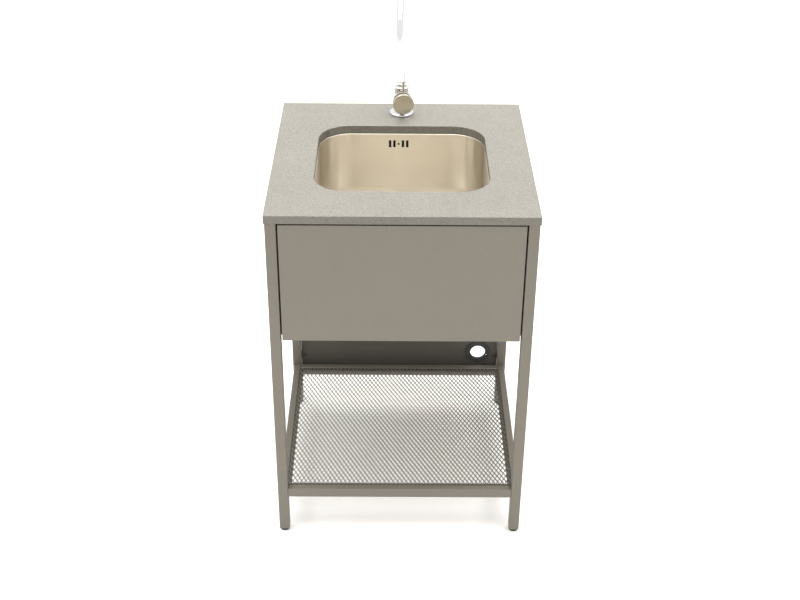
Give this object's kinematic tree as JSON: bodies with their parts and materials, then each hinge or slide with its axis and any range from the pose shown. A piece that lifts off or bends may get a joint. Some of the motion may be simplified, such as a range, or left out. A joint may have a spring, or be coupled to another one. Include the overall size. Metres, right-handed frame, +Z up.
{
  "type": "portable handwash sink",
  "caption": "Handwash station: stone worktop, steel bowl and lever tap on a square-tube frame with a front panel, back panel and mesh shelf.",
  "frame": {"origin": "on the floor, under the middle of the worktop", "axes": "+X to the right as seen by the user, +Y to the back, +Z up"},
  "size_m": [0.6, 0.62, 1.238],
  "materials": {
    "frame_paint": "fine satin powder coat, warm grey-beige metallic",
    "panel_paint": "fine satin powder coat, warm grey-beige metallic",
    "dark_paint": "satin powder coat, dark warm grey",
    "black_plastic": "matt black moulded plastic",
    "stone": null,
    "bowl_steel": "satin brushed stainless steel",
    "fastener_steel": "plain stainless steel",
    "dark_rubber": "matt rubber",
    "white_plastic": "moulded white polypropylene",
    "tap_chrome": "polished chrome",
    "satin_nickel": "satin nickel plate",
    "tap_brass": "plain turned brass",
    "cartridge_plastic": "moulded plastic"
  },
  "bodies": {
    "frame": {"back_panel": "dark_paint", "back_panel_screws": "fastener_steel", "back_panel_tabs": "dark_paint", "bowl_clips": "bowl_steel", "bowl_seal": "dark_rubber", "clip_screws": "fastener_steel", "drain_body": "bowl_steel", "drain_gaskets": "dark_rubber", "drain_locknut": "white_plastic", "front_panel": "panel_paint", "front_panel_brackets": "frame_paint", "front_panel_nuts": "fastener_steel", "leg_front_left": "frame_paint", "leg_front_right": "frame_paint", "leg_plugs": "black_plastic", "leg_rear_left": "frame_paint", "leg_rear_right": "frame_paint", "mixer_cartridge": "cartridge_plastic", "overflow_hose": "white_plastic", "overflow_housing": "black_plastic", "overflow_screw": "fastener_steel", "pipe_grommet": "dark_rubber", "shelf_ledges": "dark_paint", "shelf_mesh": "frame_paint", "shelf_rail_front": "frame_paint", "shelf_rail_left": "frame_paint", "shelf_rail_rear": "frame_paint", "shelf_rail_right": "frame_paint", "sink_bowl": "bowl_steel", "stone_top": "stone", "tailpiece": "white_plastic", "tailpiece_nut": "white_plastic", "tap_base_ring": "tap_chrome", "tap_body": "tap_chrome", "tap_gasket": "dark_rubber", "tap_locknut": "tap_brass", "tap_washer": "fastener_steel", "top_rail_front": "frame_paint", "top_rail_left": "frame_paint", "top_rail_rear": "frame_paint", "top_rail_right": "frame_paint", "trap_cup": "white_plastic", "trap_head": "white_plastic", "trap_inlet_nut": "white_plastic", "trap_outlet_nut": "white_plastic", "trap_outlet_pipe": "white_plastic"},
    "spout": {"spout_collar": "tap_chrome", "spout_tube": "tap_chrome", "spout_nozzle": "tap_chrome", "aerator": "cartridge_plastic"},
    "lever_hub": {"lever_ball": "tap_brass"},
    "lever": {"handle_cap": "satin_nickel", "lever_pin": "satin_nickel"},
    "basket": {"strainer_basket": "bowl_steel", "basket_knob": "bowl_steel"},
    "foot_front_left": {"levelling_foot_front_left": "black_plastic"},
    "foot_front_right": {"levelling_foot_front_right": "black_plastic"},
    "foot_rear_left": {"levelling_foot_rear_left": "black_plastic"},
    "foot_rear_right": {"levelling_foot_rear_right": "black_plastic"}
  },
  "joints": [
    {"name": "spout_swivel", "type": "hinge", "parent": "frame", "child": "spout", "pos_m": [0, 0.249, 0.962], "axis": [0, 0, 1], "range_deg": [-60, 60]},
    {"name": "lever_turn", "type": "hinge", "parent": "frame", "child": "lever_hub", "pos_m": [0.00249, 0.22714, 0.926], "axis": [-0.1132, 0.9936, 0], "range_deg": [-45, 45]},
    {"name": "lever_lift", "type": "hinge", "parent": "lever_hub", "child": "lever", "pos_m": [0.00249, 0.22714, 0.926], "axis": [-0.9936, -0.1132, 0], "range_deg": [0, 15]},
    {"name": "basket_lift", "type": "slide", "parent": "frame", "child": "basket", "axis": [0, 0, 1], "range_m": [0, 0.12]},
    {"name": "foot_screw_front_left", "type": "slide", "parent": "frame", "child": "foot_front_left", "axis": [0, 0, 1], "range_m": [-0.015, 0]},
    {"name": "foot_screw_front_right", "type": "slide", "parent": "frame", "child": "foot_front_right", "axis": [0, 0, 1], "range_m": [-0.015, 0]},
    {"name": "foot_screw_rear_left", "type": "slide", "parent": "frame", "child": "foot_rear_left", "axis": [0, 0, 1], "range_m": [-0.015, 0]},
    {"name": "foot_screw_rear_right", "type": "slide", "parent": "frame", "child": "foot_rear_right", "axis": [0, 0, 1], "range_m": [-0.015, 0]}
  ]
}
